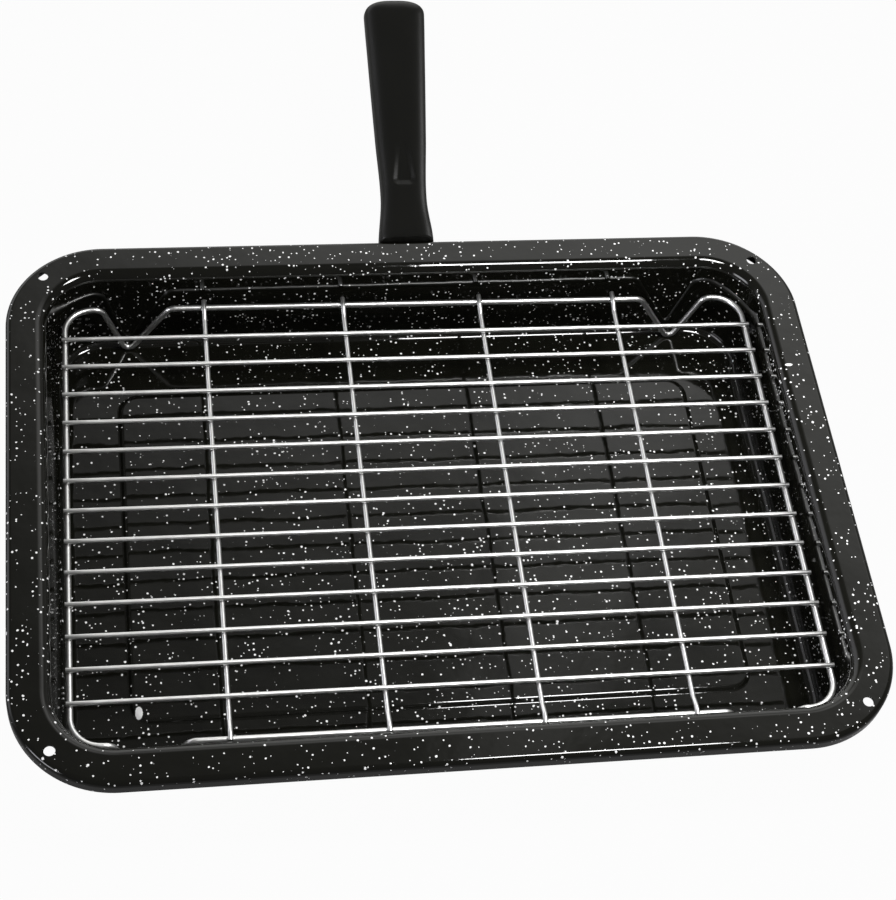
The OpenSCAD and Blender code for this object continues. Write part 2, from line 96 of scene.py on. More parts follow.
FOOT_Z = SHEET + FRAME_D / 2
CROSS_Z = SHEET + RACK_H - CROSS_D / 2
FRAME_Z = CROSS_Z - (CROSS_D + FRAME_D) / 2 + WELD_SET
RUNNER_Z = CROSS_Z - (CROSS_D + RUNNER_D) / 2 + WELD_SET
RUNNER_TOP_Z = FRAME_Z + (FRAME_D + RUNNER_D) / 2 - WELD_SET
SIDE_X = TURN_X + wall_out(FRAME_Z) - WALL_HALF_T - RACK_GAP - FRAME_D / 2
RAIL_Y = TURN_Y + FLAT_OUT - FOOT_EDGE
CORNER_ROOM = wall_out(FRAME_Z) - WALL_HALF_T - CORNER_GAP - FRAME_D / 2
SIDE_PAST, RAIL_PAST = SIDE_X - TURN_X, RAIL_Y - TURN_Y
BEND_SUM = SIDE_PAST + RAIL_PAST - CORNER_ROOM
BEND_REST = SIDE_PAST ** 2 + RAIL_PAST ** 2 - CORNER_ROOM ** 2
FRAME_BEND = max(FRAME_D, BEND_SUM - math.sqrt(max(0, BEND_SUM ** 2 - BEND_REST)))
CORNER_END = SIDE_X - FRAME_BEND
CORNER_LEAD = 0.5
LEG_RISE = FRAME_Z - LEG_BEND - FOOT_Z - FOOT_BEND
LEG_BENDS = LEG_BEND + FOOT_BEND

BEND_Y = TRAY_Y / 2 - SHEET - HOOK_GAP - STRIP_T / 2 + TONGUE_BEND
BEND_Z = TRAY_H - LIP_H + HOOK_GAP / 2
GRIP_UP = STRIP_DROP - TONGUE_BEND
GRIP_OUT = (TRAY_Y / 2 + NOSE_GAP - BEND_Y + GRIP_UP * sind(HANDLE_TILT)) / cosd(HANDLE_TILT)
SCREW_SEAT = STRIP_DROP + (STRIP_T + 2 * SLOT_GAP) / 2 + SEAT_WALL


def leg_angle(run):
    slant = math.atan2(LEG_RISE, run)
    return math.degrees(slant + math.asin(LEG_BENDS / math.hypot(run, LEG_RISE)))


def leg_length(run):
    return math.sqrt(run * run + LEG_RISE ** 2 - LEG_BENDS ** 2)


# Node material helpers

class Tree:
    def __init__(self, material):
        material.use_nodes = True
        self.nt = material.node_tree
        self.nt.nodes.clear()

    def node(self, kind, inputs=None, **props):
        n = self.nt.nodes.new(kind)
        for k, v in props.items():
            setattr(n, k, v)
        for k, v in (inputs or {}).items():
            if isinstance(v, bpy.types.NodeSocket):
                self.nt.links.new(v, n.inputs[k])
            else:
                n.inputs[k].default_value = v
        return n

    def math(self, op, a, b=0.0):
        return self.node("ShaderNodeMath", {0: a, 1: b}, operation=op).outputs[0]

    def vmath(self, op, a, b=(0, 0, 0)):
        return self.node("ShaderNodeVectorMath", {0: a, 1: b}, operation=op).outputs[0]

    def scaled(self, v, k):
        n = self.node("ShaderNodeVectorMath", {0: v, "Scale": k}, operation="SCALE")
        return n.outputs[0]

    def span(self, value, a, b, c=0.0, d=1.0, smooth=False):
        n = self.node("ShaderNodeMapRange", {"Value": value, "From Min": a, "From Max": b,
                                             "To Min": c, "To Max": d})
        if smooth:
            n.interpolation_type = "SMOOTHSTEP"
        return n.outputs[0]

    def noise(self, v, scale, detail=2.0, rough=0.5, out=0):
        n = self.node("ShaderNodeTexNoise", {"Vector": v, "Scale": scale,
                                             "Detail": detail, "Roughness": rough})
        return n.outputs[out]

    def mix(self, fac, a, b):
        n = self.node("ShaderNodeMix", {"Factor": fac}, data_type="RGBA")
        for name, v in (("A", a), ("B", b)):
            socket = [s for s in n.inputs if s.name == name and s.type == "RGBA"][0]
            if isinstance(v, bpy.types.NodeSocket):
                self.nt.links.new(v, socket)
            else:
                socket.default_value = v
        return [s for s in n.outputs if s.type == "RGBA"][0]

    def place(self):
        return self.node("ShaderNodeTexCoord").outputs["Object"]

    def bump(self, height, distance, normal=None):
        inputs = {"Height": height, "Distance": distance, "Strength": 1.0}
        if normal is not None:
            inputs["Normal"] = normal
        return self.node("ShaderNodeBump", inputs).outputs[0]

    def finish(self, shader):
        self.node("ShaderNodeOutputMaterial", {"Surface": shader})

    def principled(self, inputs):
        self.finish(self.node("ShaderNodeBsdfPrincipled", inputs).outputs[0])


def material_tree(name):
    """A new material, its empty tree and the place on the object."""
    m = bpy.data.materials.new(name)
    t = Tree(m)
    return m, t, t.place()


def grey(v):
    return (v, v, v, 1.0)


# Flecks in millimetres: cell, least and greatest radius, softness of the edge
FINE_FLECKS = (2.1, -0.20, 0.53, 0.04)
BOLD_FLECKS = (7.0, 0.05, 0.64, 0.04)
RARE_FLECKS = (15.0, -1.6, 0.80, 0.06)
# The one large drop, in metres, and one over its radii
DROP_AT, DROP_TURN, DROP_SCALE = (-0.1362, -0.0841, 0.0018), 0.35, (620.0, 340.0, 300.0)


def specks_of(t, place, crowd, cell, least, most, soft):
    """White flecks: balls of different sizes round scattered points, cut by the surface."""
    v = t.node("ShaderNodeTexVoronoi", {"Vector": place, "Scale": 1000.0 / cell, "Randomness": 1.0},
               voronoi_dimensions="3D", feature="F1")
    chance = t.node("ShaderNodeSeparateColor", {"Color": v.outputs["Color"]}).outputs[0]
    lively = t.math("ADD", chance, t.span(crowd, 0.35, 0.65, -0.22, 0.22))
    size = t.span(lively, 0.0, 1.0, least / cell, most / cell)
    off = t.math("SUBTRACT", v.outputs["Distance"], size)
    return t.span(off, -soft / cell, soft / cell, 1.0, 0.0)


def enamel_material():
    m, t, place = material_tree("speckled_enamel")
    wobble = t.vmath("SUBTRACT", t.noise(place, 1500.0, 1.0, 0.5, out=1), (0.5, 0.5, 0.5))
    ragged = t.vmath("ADD", place, t.scaled(wobble, 0.0004))
    crowd = t.noise(place, 60.0, 2.0, 0.5)
    drawn = t.node("ShaderNodeMapping", {"Vector": ragged, "Rotation": (0.0, 0.0, 0.6),
                                         "Scale": (0.42, 1.0, 1.0)}).outputs[0]
    fine = specks_of(t, ragged, crowd, *FINE_FLECKS)
    bold = specks_of(t, ragged, crowd, *BOLD_FLECKS)
    rare = specks_of(t, drawn, crowd, *RARE_FLECKS)
    from_drop = t.vmath("SUBTRACT", ragged, DROP_AT)
    away = t.node("ShaderNodeMapping", {"Vector": from_drop, "Rotation": (0.0, 0.0, DROP_TURN),
                                        "Scale": DROP_SCALE}).outputs[0]
    share = t.node("ShaderNodeVectorMath", {0: away}, operation="LENGTH").outputs["Value"]
    drop = t.span(share, 0.95, 1.05, 1.0, 0.0)
    specks = t.math("MAXIMUM", t.math("MAXIMUM", fine, drop), t.math("MAXIMUM", bold, rare))
    white = t.mix(t.noise(place, 500.0, 1.0), grey(0.88), (0.97, 0.97, 0.96, 1))
    black = t.mix(t.noise(place, 18.0, 3.0), (0.0033, 0.0033, 0.0022, 1),
                  (0.0061, 0.0061, 0.0044, 1))
    rough = t.span(t.noise(place, 35.0, 4.0, 0.6), 0.3, 0.7, 0.045, 0.065)
    flow = t.bump(t.noise(place, 42.0, 1.0, 0.4), 0.00022)
    peel = t.bump(t.noise(place, 230.0, 1.5, 0.4), 0.00003, flow)
    raised = t.bump(specks, 0.000006, peel)
    t.principled({"Base Color": t.mix(specks, black, white), "Roughness": rough, "Normal": raised,
                  "IOR": 1.5})
    return m


def chrome_material():
    m, t, place = material_tree("chromed_wire")
    cloud = t.noise(place, 90.0, 3.0, 0.6)
    colour = t.mix(cloud, (0.90, 0.90, 0.89, 1), (0.97, 0.97, 0.95, 1))
    rough = t.span(t.noise(place, 300.0, 3.0, 0.6), 0.25, 0.75, 0.31, 0.39)
    wave = t.bump(t.noise(place, 130.0, 1.0), 0.00003)
    t.principled({"Base Color": colour, "Metallic": 1.0, "Roughness": rough, "Normal": wave})
    return m


def weld_material():
    m, t, place = material_tree("weld_metal")
    burn = t.noise(place, 700.0, 3.0, 0.6)
    colour = t.mix(burn, (0.42, 0.41, 0.40, 1), (0.80, 0.80, 0.79, 1))
    lumps = t.bump(t.noise(place, 1700.0, 3.0), 0.00006)
    t.principled({"Base Color": colour, "Metallic": 1.0, "Roughness": 0.27, "Normal": lumps})
    return m


def grip_material():
    m, t, place = material_tree("moulded_grip")
    colour = t.mix(t.noise(place, 45.0, 3.0), (0.0160, 0.0160, 0.0135, 1),
                   (0.0195, 0.0195, 0.0165, 1))
    rough = t.span(t.noise(place, 60.0, 4.0, 0.6), 0.3, 0.7, 0.34, 0.40)
    flow = t.bump(t.noise(place, 60.0, 1.0), 0.00006)
    grain = t.bump(t.noise(place, 2600.0, 3.0, 0.6), 0.000012, flow)
    t.principled({"Base Color": colour, "Roughness": rough, "Normal": grain,
                  "IOR": 1.45, "Specular IOR Level": 0.4})
    return m


def steel_material():
    m, t, place = material_tree("plated_strip")
    stretched = t.vmath("MULTIPLY", place, (1.0, 0.06, 0.06))
    lines = t.noise(stretched, 2200.0, 3.0, 0.7)
    cloud = t.noise(place, 120.0, 4.0, 0.6)
    colour = t.mix(cloud, (0.50, 0.51, 0.52, 1), (0.68, 0.68, 0.67, 1))
    rough = t.span(t.math("MULTIPLY", lines, cloud), 0.1, 0.4, 0.25, 0.45)
    t.principled({"Base Color": colour, "Metallic": 1.0, "Roughness": rough,
                  "Normal": t.bump(lines, 0.00001)})
    return m


# Mesh helpers

def mesh_of(name, verts_mm, faces):
    mesh = bpy.data.meshes.new(name)
    mesh.from_pydata([tuple(float(c) * MM for c in v) for v in verts_mm], [], faces)
    return mesh


def linked_object(name, data):
    obj = bpy.data.objects.new(name, data)
    bpy.context.scene.collection.objects.link(obj)
    return obj


def shown(name, mesh, material):
    """A smooth-shaded object in one material."""
    mesh.polygons.foreach_set("use_smooth", [True] * len(mesh.polygons))
    mesh.materials.append(material)
    return linked_object(name, mesh)


def new_piece(name, verts_mm, faces, material, nodes=()):
    mesh = mesh_of(name, verts_mm, faces)
    mesh.validate()
    obj = shown(name, mesh, material)
    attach(obj, "root")
    if nodes:
        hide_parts(*nodes)
    return obj


def settle(obj):
    """Applies the object's modifiers."""
    dg = bpy.context.evaluated_depsgraph_get()
    mesh = bpy.data.meshes.new_from_object(obj.evaluated_get(dg))
    obj.modifiers.clear()
    old = obj.data
    obj.data = mesh
    bpy.data.meshes.remove(old)


def soften(obj, width=0.0, segments=0, angle=0.0):
    """Rounds the edges sharper than an angle, where a width is given, and evens the shading."""
    if width:
        bevel = obj.modifiers.new("soft_edges", "BEVEL")
        bevel.width, bevel.segments, bevel.limit_method = width * MM, segments, "ANGLE"
        bevel.angle_limit = math.radians(angle)
    even = obj.modifiers.new("even", "WEIGHTED_NORMAL")
    even.keep_sharp = True
    settle(obj)


def cut(obj, verts_mm, faces):
    """Takes a closed shape out of an object."""
    mesh = mesh_of("cutter", verts_mm, faces)
    tool = linked_object("cutter", mesh)
    b = obj.modifiers.new("cut", "BOOLEAN")
    b.operation, b.solver, b.object = "DIFFERENCE", "EXACT", tool
    bpy.context.view_layer.update()
    settle(obj)
    bpy.data.objects.remove(tool)
    bpy.data.meshes.remove(mesh)


# Faces of a box whose corners are counted with X slowest and Z fastest
BOX_FACES = [(0, 1, 3, 2), (4, 6, 7, 5), (0, 4, 5, 1), (2, 3, 7, 6), (0, 2, 6, 4), (1, 5, 7, 3)]


def gathered(solids):
    """The verts and faces of several solids as one."""
    verts, faces = [], []
    for v, f in solids:
        base = len(verts)
        verts += v
        faces += [tuple(i + base for i in g) for g in f]
    return verts, faces


def lathe(profile, sides):
    """Verts and faces of a closed solid turned about Z; its profile starts and ends on the axis."""
    verts, faces = [], []
    rings = []
    for r, z in profile:
        if r < 1e-9:
            rings.append([len(verts)])
            verts.append((0, 0, z))
        else:
            start = len(verts)
            for k in range(sides):
                a = 2 * math.pi * k / sides
                verts.append((r * math.cos(a), r * math.sin(a), z))
            rings.append([start + k for k in range(sides)])
    for a, b in zip(rings, rings[1:]):
        for k in range(sides):
            k2 = (k + 1) % sides
            if len(a) == 1:
                faces.append((a[0], b[k2], b[k]))
            elif len(b) == 1:
                faces.append((a[k], a[k2], b[0]))
            else:
                faces.append((a[k], a[k2], b[k2], b[k]))
    return verts, faces


def loft(rings, closed=False):
    """Verts and faces through rings of as many points each; open ends are capped."""
    n = len(rings[0])
    rows = len(rings)
    verts = [p for ring in rings for p in ring]
    faces = []
    for i in range(rows if closed else rows - 1):
        a, b = i * n, (i + 1) % rows * n
        for k in range(n):
            k2 = (k + 1) % n
            faces.append((a + k, a + k2, b + k2, b + k))
    if not closed:
        faces.append(tuple(range(n - 1, -1, -1)))
        faces.append(tuple((rows - 1) * n + k for k in range(n)))
    return verts, faces


# The tray: one skin swept round the plan, from the panel's top over the rim and back underneath

def sheet_path(start, steps, fine):
    """Points and headings along lengths, each with a bend after it, at most fine degrees apart."""
    x, y, h = start
    out = [(x, y, h)]
    for length, turn, r in steps:
        if length > 0:
            x, y = x + length * cosd(h), y + length * sind(h)
            out.append((x, y, h))
        if turn:
            side = math.copysign(r, turn)
            cx, cy = x - side * sind(h), y + side * cosd(h)
            parts = max(2, math.ceil(abs(turn) / fine))
            for k in range(1, parts + 1):
                a = h + turn * k / parts
                out.append((cx + side * sind(a), cy - side * cosd(a), a))
            x, y, h = out[-1]
    return out


def sides_of(path, t):
    """The path moved half a thickness to its left and to its right."""
    left = [(x - t / 2 * sind(h), y + t / 2 * cosd(h)) for x, y, h in path]
    right = [(x + t / 2 * sind(h), y - t / 2 * cosd(h)) for x, y, h in path]
    return left, right


def tray_loops():
    """The skin's loops: the corner's centre that each turns round, and its radius and height."""
    edge_z = TRAY_H - LIP_H + SHEET / 2
    steps = [(LIP_H - FOLD_R - SHEET / 2, 90, FOLD_MID), (RIM_W - FOLD_R, WALL_TURN, ROLL_MID),
             (WALL_L / 2, 0, 0), (WALL_L / 2, -WALL_TURN, FLOOR_MID)]
    skin = sheet_path((CORNER_R - SHEET / 2, edge_z, 90), steps, fine=5)
    under, top = sides_of(skin, SHEET)
    edge = [(CORNER_R - SHEET / 2 + SHEET / 2 * cosd(a), edge_z + SHEET / 2 * sind(a))
            for a in range(-30, -180, -30)]
    step = [(0, -STEP_TURN, STEP_BEND), (0, STEP_TURN, STEP_BEND)]
    step_skin = sheet_path((PANEL_R + STEP_W / 2, SHEET / 2, 180), step, fine=8)
    step_under, step_top = sides_of(step_skin, SHEET)
    inner, outer = (PANEL_TURN_X, PANEL_TURN_Y, PANEL_Y), (TURN_X, TURN_Y, 0.0)
    loops = [(inner, p) for p in reversed(step_top)]
    loops += [(outer, p) for p in list(reversed(top)) + edge + under]
    loops += [(inner, p) for p in step_under]
    return loops


CORNER_STEPS, HOLE_SIDES, HOLE_REACH = 30, 48, 2


def tray_piece(material):
    rings = []
    for (tx, ty, middle), (out, z) in tray_loops():
        ring = []
        for quarter, (sx, sy) in enumerate(((1, 1), (-1, 1), (-1, -1), (1, -1))):
            for k in range(CORNER_STEPS + 1):
                a = 90 * quarter + 90 * k / CORNER_STEPS
                ring.append((sx * tx + out * cosd(a), middle + sy * ty + out * sind(a), z))
        rings.append(ring)
    verts, faces = loft(rings)
    faces = [tuple(reversed(f)) for f in faces]
    obj = new_piece("tray_shell", verts, faces, material, ["tray"])
    r, reach = HOLE_D / 2, HOLE_REACH
    v, f = lathe([(0, -reach), (r, -reach), (r, reach), (0, reach)], HOLE_SIDES)
    at_x, at_y = TURN_X + HOLE_TURN, TURN_Y + HOLE_TURN
    cut(obj, *gathered(([(x + sx * at_x, y + sy * at_y, z + TRAY_H) for x, y, z in v], f)
                       for sx in (1, -1) for sy in (1, -1)))
    soften(obj, width=0.28, segments=3, angle=50)


# The rack: bent wires swept along their own paths

WIRE_SIDES, WIRE_STEP = 20, 12
# The last rings of a sheared wire: share of its width, and how far back
CUT_END = ((0.80, 0.0), (0.95, 0.06), (1, 0.2))


def wire_frames(start, steps, fine):
    """Place, forward, outward and up along a wire of lengths, each with a bend after it."""
    p, t, o, u = (np.array(v, float) for v in start)
    out = [(p, t, o, u)]
    for length, turn, r, plane in steps:
        if length > 0:
            parts = max(1, int(length / WIRE_STEP))
            for k in range(parts):
                p = p + t * length / parts
                out.append((p, t, o, u))
        if turn:
            side = -o if plane == 0 else u
            sign = math.copysign(1, turn)
            centre = p + sign * r * side
            parts = max(2, math.ceil(abs(turn) / fine))
            t0, side0 = t, side
            for k in range(1, parts + 1):
                a = turn * k / parts
                side = side0 * cosd(a) - t0 * sind(a)
                t = t0 * cosd(a) + side0 * sind(a)
                p = centre - sign * r * side
                if plane == 0:
                    o = -side
                else:
                    u = side
                out.append((p, t, o, u))
    return out


def wire_rings(frames, d):
    around = [2 * math.pi * k / WIRE_SIDES for k in range(WIRE_SIDES)]
    return [[p + d / 2 * (math.cos(a) * o + math.sin(a) * u) for a in around]
            for p, t, o, u in frames]


def frame_wire_rings():
    outer_run = FOOT_IN - CORNER_LEAD
    steps = [(RAIL_Y - FRAME_BEND, 90, FRAME_BEND, 0),
             (CORNER_LEAD, -leg_angle(outer_run), LEG_BEND, 90),
             (leg_length(outer_run), leg_angle(outer_run) + leg_angle(FOOT_OUT), FOOT_BEND, 90),
             (leg_length(FOOT_OUT), -leg_angle(FOOT_OUT), LEG_BEND, 90),
             (CORNER_END - FOOT_IN - FOOT_OUT, 0, 0, 0)]
    start = ((SIDE_X, 0, FRAME_Z), (0, 1, 0), (1, 0, 0), (0, 0, 1))
    frames = wire_frames(start, steps, fine=6)
    quarter = [np.array(r) for r in wire_rings(frames, FRAME_D)]
    n = len(quarter)
    whole = list(quarter)
    whole += [quarter[i] * (-1, 1, 1) for i in range(n - 2, -1, -1)]
    whole += [quarter[i] * (-1, -1, 1) for i in range(1, n)]
    whole += [quarter[i] * (1, -1, 1) for i in range(n - 2, 0, -1)]
    return whole


CLIMB_TURN, CLIMB_BEND, CLIMB_TO_RAIL = 20.0, 4.0, 2.0
CLIMB_L = (RUNNER_TOP_Z - RUNNER_Z - 2 * CLIMB_BEND * (1 - cosd(CLIMB_TURN))) / sind(CLIMB_TURN)
CLIMB_RUN = CLIMB_L * cosd(CLIMB_TURN) + 2 * CLIMB_BEND * sind(CLIMB_TURN)
RUNNER_FRONT_END = RAIL_Y + FRAME_D / 2 + RUNNER_FRONT


def in_rack(p):
    """A place in the rack's own frame, as the loose rack lies in the tray."""
    x, y, z = p
    c, s = cosd(RACK_TURN), sind(RACK_TURN)
    return (RACK_X + x * c - y * s, x * s + y * c, z)


def runner_x(i):
    return RUNNER_X + (i - (RUNNER_COUNT + 1) / 2) * RUNNER_PITCH


def cross_y(i):
    return ((CROSS_COUNT + 1) / 2 - i) * CROSS_PITCH


def with_cut_ends(rings):
    """Rounds the sheared ends of a wire a little."""
    first, last = np.array(rings[0]), np.array(rings[-1])

    def shrunk(ring, other, k, back):
        c = ring.mean(0)
        step = np.array(other).mean(0) - c
        step = step / np.linalg.norm(step)
        return c + (ring - c) * k + step * back
    head = [shrunk(first, rings[1], k, back) for k, back in CUT_END]
    tail = [shrunk(last, rings[-2], k, back) for k, back in reversed(CUT_END)]
    return head + [np.array(r) for r in rings[1:-1]] + tail


def wire_piece(name, rings, chrome, closed=False):
    verts, faces = loft(rings, closed)
    new_piece(name, [in_rack(v) for v in verts], [tuple(reversed(f)) for f in faces], chrome,
              ["rack_" + name])


def rack_pieces(chrome, welds):
    wire_piece("frame_wire", frame_wire_rings(), chrome, closed=True)
    steps = [(RUNNER_FRONT_END - RAIL_Y + CLIMB_TO_RAIL, -CLIMB_TURN, CLIMB_BEND, 90),
             (CLIMB_L, CLIMB_TURN, CLIMB_BEND, 90),
             (2 * (RAIL_Y - CLIMB_TO_RAIL - CLIMB_RUN), CLIMB_TURN, CLIMB_BEND, 90),
             (CLIMB_L, -CLIMB_TURN, CLIMB_BEND, 90),
             (CLIMB_TO_RAIL + FRAME_D / 2 + RUNNER_REAR, 0, 0, 0)]
    for i in range(1, RUNNER_COUNT + 1):
        start = ((runner_x(i), -RUNNER_FRONT_END, RUNNER_TOP_Z), (0, 1, 0), (1, 0, 0), (0, 0, 1))
        rings = wire_rings(wire_frames(start, steps, fine=5), RUNNER_D)
        wire_piece("runner_%d" % i, with_cut_ends(rings), chrome)
    half = SIDE_X + FRAME_D / 2 + CROSS_OVER
    for i in range(1, CROSS_COUNT + 1):
        start = ((-half, cross_y(i), CROSS_Z), (1, 0, 0), (0, -1, 0), (0, 0, 1))
        rings = wire_rings(wire_frames(start, [(2 * half, 0, 0, 0)], fine=5), CROSS_D)
        wire_piece("cross_wire_%02d" % i, with_cut_ends(rings), chrome)
    weld_piece(welds)


BEAD_ROWS, BEAD_SIDES = 8, 14
BEAD_LEAST, BEAD_MOST, BEAD_LUMPS, LUMP_PITCH = 0.92, 1.12, 0.16, 2.2
# Radii of the beads on the side wires, on the runners and on the rails
SIDE_BEAD, RUNNER_BEAD, RAIL_BEAD = (1.10, 0.90, 0.42), (0.92, 0.85, 0.36), (0.95, 1.10, 0.42)


def bead_spots():
    """Centre and three radii of the bead at each weld."""
    low, high = (FRAME_D - WELD_SET) / 2, (RUNNER_D - WELD_SET) / 2
    spots = []
    for i in range(1, CROSS_COUNT + 1):
        for side in (-1, 1):
            spots.append((side * SIDE_X, cross_y(i), FRAME_Z + low) + SIDE_BEAD)
        for k in range(1, RUNNER_COUNT + 1):
            spots.append((runner_x(k), cross_y(i), RUNNER_Z + high) + RUNNER_BEAD)
    for k in range(1, RUNNER_COUNT + 1):
        for side in (-1, 1):
            spots.append((runner_x(k), side * RAIL_Y, FRAME_Z + low) + RAIL_BEAD)
    return spots


def weld_piece(material):
    """A small squeezed-out bead round each place where two wires are welded."""
    rows, cols = BEAD_ROWS, BEAD_SIDES
    faces_of_one = [(near + b, near + cols + b, near + cols + (b + 1) % cols, near + (b + 1) % cols)
                    for near in range(0, (rows - 2) * cols, cols) for b in range(cols)]
    faces_of_one.append(tuple(range(cols)))
    faces_of_one.append(tuple((rows - 2) * cols + b for b in range(cols - 1, -1, -1)))
    beads = []
    for x, y, z, rx, ry, rz in bead_spots():
        kx, ky, kz = rng.uniform(BEAD_LEAST, BEAD_MOST, 3)
        seed = rng.uniform(0, 50, 3)
        verts = []
        for a in range(1, rows):
            for b in range(cols):
                th, ph = math.pi * a / rows, 2 * math.pi * b / cols
                d = np.array([math.sin(th) * math.cos(ph), math.sin(th) * math.sin(ph),
                              math.cos(th)])
                k = 1 + BEAD_LUMPS * noise.noise(Vector(d * LUMP_PITCH + seed))
                verts.append((x + d[0] * rx * kx * k, y + d[1] * ry * ky * k,
                              z + d[2] * rz * kz * k))
        beads.append((verts, faces_of_one))
    verts, faces = gathered(beads)
    new_piece("weld_beads", [in_rack(v) for v in verts], faces, material)


# The handle

def curve(stations, x):
    """A smooth curve through stations, level at both ends."""
    xs = [s[0] for s in stations]
    i = 0
    while i < len(xs) - 2 and x > xs[i + 1]:
        i += 1

    def slope(j):
        if j == 0 or j == len(xs) - 1:
            return 0.0
        return (stations[j + 1][1] - stations[j - 1][1]) / (xs[j + 1] - xs[j - 1])
    span = xs[i + 1] - xs[i]
    u = (x - xs[i]) / span
    a, b, ma, mb = stations[i][1], stations[i + 1][1], slope(i) * span, slope(i + 1) * span
    return (a * (2 * u ** 3 - 3 * u * u + 1) + b * (3 * u * u - 2 * u ** 3)
            + ma * (u ** 3 - 2 * u * u + u) + mb * (u ** 3 - u * u))


BODY_L = GRIP_L - NECK_AT
WIDTHS = [(0, NOSE_W), (NECK_AT, NECK_W),
          (NECK_AT + BODY_L * 0.3, NECK_W + (END_W - NECK_W) * 0.34),
          (NECK_AT + BODY_L * 0.7, NECK_W + (END_W - NECK_W) * 0.76), (GRIP_L, END_W)]
THICKS = [(0, NECK_T + 1), (NECK_AT, NECK_T), (NECK_AT + BODY_L * 0.5, (NECK_T + END_T) / 2 + 0.6),
          (GRIP_L, END_T)]
NOSE_LEAN, NOSE_ROUND, NOSE_IN, SECTION_POWER, END_POWER = 20.0, 1.2, 0.07, 3.2, 2.5
# The grip's mesh stays just inside the part's own box
WITHIN, END_SHORT = 0.996, 0.09
# The thumb rest: half its width, how much that narrows, its near edge, the slope of its rim, and
# how it fades out along the grip
THUMB_HALF, THUMB_TAPER, THUMB_BACK, SLOPE_OUT, SLOPE_W = 5.7, 2.7, 0.6, 0.7, 3.0
SLOPE_EASED, THUMB_FADE = 0.4, 0.8
SECTION_SIDES, SECTION_FINE = 200, 4001
# Room round a screw's head, its hole's depth and sides, and where the slot for the strip starts
HEAD_ROOM, BORE_L, BORE_SIDES, SLOT_START = 0.05, 12, 40, -5


def end_share(y):
    if y < NOSE_ROUND:
        return 1 - NOSE_IN * (1 - y / NOSE_ROUND) ** 2
    if y <= GRIP_L - END_ROUND:
        return 1.0
    return max(0, 1 - ((y - GRIP_L + END_ROUND) / END_ROUND) ** END_POWER) ** (1 / END_POWER)


def rounded(c):
    return math.copysign(abs(c) ** (2 / SECTION_POWER), c)


def ease(u):
    u = max(0.0, min(1.0, u))
    return u * u * (3 - 2 * u)


def scooped(x, y, z):
    """Height of the grip's top with the thumb rest pressed in, steep at its near end and sides."""
    along = max(0.0, (y - THUMB_AT) / THUMB_L)
    if along >= 1:
        return z
    aside = abs(x) - THUMB_HALF + THUMB_TURN + THUMB_TAPER * along
    short = THUMB_AT + THUMB_TURN - THUMB_BACK - y
    out = math.hypot(max(aside, 0.0), max(short, 0.0)) + min(max(aside, short), 0.0) - THUMB_TURN
    inward = min(max((SLOPE_OUT - out) / SLOPE_W, 0.0), 1.0)
    sunk = (1 - SLOPE_EASED) * inward + SLOPE_EASED * ease(inward)
    return z - THUMB_D * (1 - along) ** THUMB_FADE * sunk


def grip_point(y, angle):
    share = end_share(y)
    lean = 0.0
    if y < NOSE_LEAN:
        lean = math.tan(math.radians(HANDLE_TILT)) * (1 + math.cos(math.pi * y / NOSE_LEAN)) / 2
    x = curve(WIDTHS, y) / 2 * share * rounded(math.cos(angle))
    z = curve(THICKS, y) / 2 * WITHIN * share * rounded(math.sin(angle))
    place = y + z * lean
    if z > 0:
        z = scooped(x, place, z)
    return x, place, z


def in_grip(p):
    x, y, z = p
    c, s = cosd(HANDLE_TILT), sind(HANDLE_TILT)
    y, z = y + GRIP_OUT, z + GRIP_UP
    return (HANDLE_X + x, BEND_Y + y * c - z * s, BEND_Z + y * s + z * c)


def section_angles():
    """Places round the grip's section, evenly spaced along its outline."""
    fine = np.linspace(0, 2 * math.pi, SECTION_FINE)
    xy = np.array([(NOSE_W / 2 * rounded(math.cos(a)), NECK_T / 2 * rounded(math.sin(a)))
                   for a in fine])
    walk = np.concatenate([[0], np.cumsum(np.hypot(*np.diff(xy, axis=0).T))])
    return [float(np.interp(walk[-1] * k / SECTION_SIDES, walk, fine))
            for k in range(SECTION_SIDES)]


def grip_rows():
    """Places along the grip, closer at the nose, the thumb rest and the rounded end."""
    straight = GRIP_L - END_ROUND
    rows = [0, 0.25, 0.5, 0.85, NOSE_ROUND]
    for start, end, step in ((2, 30, 1.0), (30, 36, 0.3), (36, 62, 0.75), (62, straight, 2.0)):
        rows += list(np.arange(start, end, step))
    return rows + [straight + END_ROUND * sind(a) for a in range(0, 84, 4)] + [GRIP_L - END_SHORT]


def at_screw(k, verts):
    """Places of a screw's own frame, moved to the first or second screw of the grip."""
    return [in_grip((x, y + SCREW_AT + k * SCREW_PITCH, z)) for x, y, z in verts]


def grip_piece(material):
    angles = section_angles()
    verts, faces = loft([[in_grip(grip_point(y, a)) for a in angles] for y in grip_rows()])
    obj = new_piece("grip", verts, faces, material, ["handle_grip"])
    r, low = HEAD_D / 2 + HEAD_ROOM, -SCREW_SEAT - BORE_L
    v, f = lathe([(0, low), (r, low), (r, -SCREW_SEAT), (0, -SCREW_SEAT)], BORE_SIDES)
    for k in (0, 1):
        cut(obj, at_screw(k, v), f)
    w, t = STRIP_W / 2 + SLOT_GAP, STRIP_T / 2 + SLOT_GAP
    box = [(x, y, -STRIP_DROP + z)
           for x in (-w, w) for y in (SLOT_START, SLOT_END) for z in (-t, t)]
    cut(obj, [in_grip(p) for p in box], BOX_FACES)
    soften(obj, width=0.25, segments=2, angle=50)
    return obj


